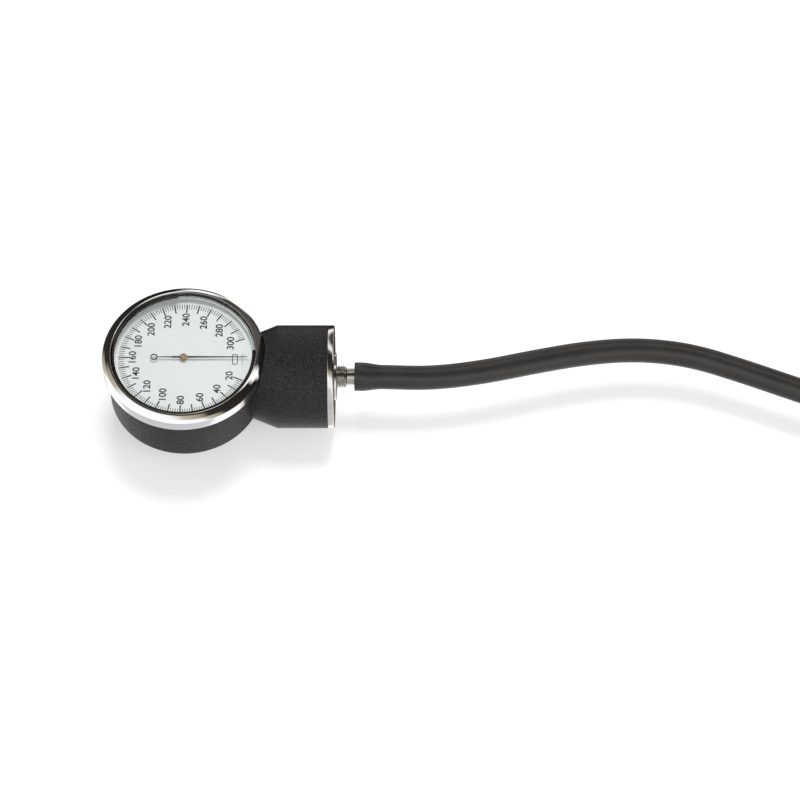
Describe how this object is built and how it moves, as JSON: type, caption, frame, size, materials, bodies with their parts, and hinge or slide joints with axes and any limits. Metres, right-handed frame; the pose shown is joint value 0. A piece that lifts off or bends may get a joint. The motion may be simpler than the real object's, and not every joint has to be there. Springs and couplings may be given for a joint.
{
  "type": "aneroid blood pressure gauge",
  "caption": "Round hand aneroid gauge with a side neck, chrome bezel, white pressure dial and a rubber hose.",
  "frame": {"origin": "centre of the case's flat back, on the dial's axis", "axes": "+Z along the dial's axis, from the back towards the dial; +X along the neck and out of the hose nipple"},
  "size_m": [0.3759, 0.06, 0.032],
  "materials": {
    "case_paint": "matt crackle",
    "bezel_chrome": "polished",
    "window_glass": "clear",
    "ring_steel": "blackened",
    "seal_rubber": "matt",
    "spacer_plastic": "satin",
    "dial_enamel": "satin white with a printed scale",
    "pointer_blued": "dark blued",
    "movement_brass": "satin",
    "movement_steel": "satin",
    "spring_bronze": "satin",
    "cap_chrome": "polished",
    "nipple_nickel": "nickel plate",
    "washer_fibre": "matt",
    "hose_rubber": "matt",
    "tie_plastic": "matt"
  },
  "bodies": {
    "gauge": {"case_body": "case_paint", "bezel": "bezel_chrome", "crystal": "window_glass", "crystal_snap_ring": "ring_steel", "end_cap_seal": "seal_rubber", "dial_spacer": "spacer_plastic", "crystal_gasket": "spacer_plastic", "dial_plate": "dial_enamel", "lower_plate": "movement_brass", "upper_plate": "movement_brass", "sector_bush_lower": "movement_brass", "pinion_bush_lower": "movement_brass", "sector_bush_upper": "movement_brass", "pinion_bush_upper": "movement_brass", "movement_pillars": "movement_brass", "hairspring_stud": "movement_brass", "rod_guide": "movement_brass", "bellows_base": "movement_brass", "flow_restrictor": "movement_brass", "pillar_screws": "movement_steel", "base_screws": "movement_steel", "hairspring": "spring_bronze", "bellows": "spring_bronze", "end_cap": "cap_chrome", "hose_nipple": "nipple_nickel", "nipple_lock_nut": "nipple_nickel", "hose_connector": "nipple_nickel", "nipple_washer": "washer_fibre", "hose": "hose_rubber", "hose_hank": "hose_rubber", "hose_end": "hose_rubber", "hose_tie": "tie_plastic"},
    "sector_train": {"sector_gear": "movement_brass", "sector_arbor": "movement_steel", "sector_lever": "movement_steel"},
    "pointer_train": {"pointer": "pointer_blued", "pointer_hub": "movement_brass", "pinion_arbor": "movement_steel", "hairspring_collet": "movement_brass"},
    "rod_train": {"push_rod": "movement_steel", "bellows_head": "spring_bronze"}
  },
  "joints": [
    {"name": "sector_turn", "type": "hinge", "parent": "gauge", "child": "sector_train", "pos_m": [0.01275, -0.0034, 0.016], "axis": [0, 0, 1], "range_deg": [0, 33.75], "stiffness_Nm_per_rad": 0.002},
    {"name": "pointer_turn", "type": "hinge", "parent": "gauge", "child": "pointer_train", "pos_m": [0, 0, 0.016], "axis": [0, 0, 1], "range_deg": [-337.5, 0], "deforming": ["hairspring"]},
    {"name": "rod_slide", "type": "slide", "parent": "gauge", "child": "rod_train", "axis": [-1, 0, 0], "range_m": [0, 0.00207], "deforming": ["bellows"]}
  ],
  "couplings": [
    {"joint": "pointer_turn", "follows": "sector_turn", "ratio": -10},
    {"joint": "rod_slide", "follows": "sector_turn", "m_per_rad": 0.0035}
  ]
}
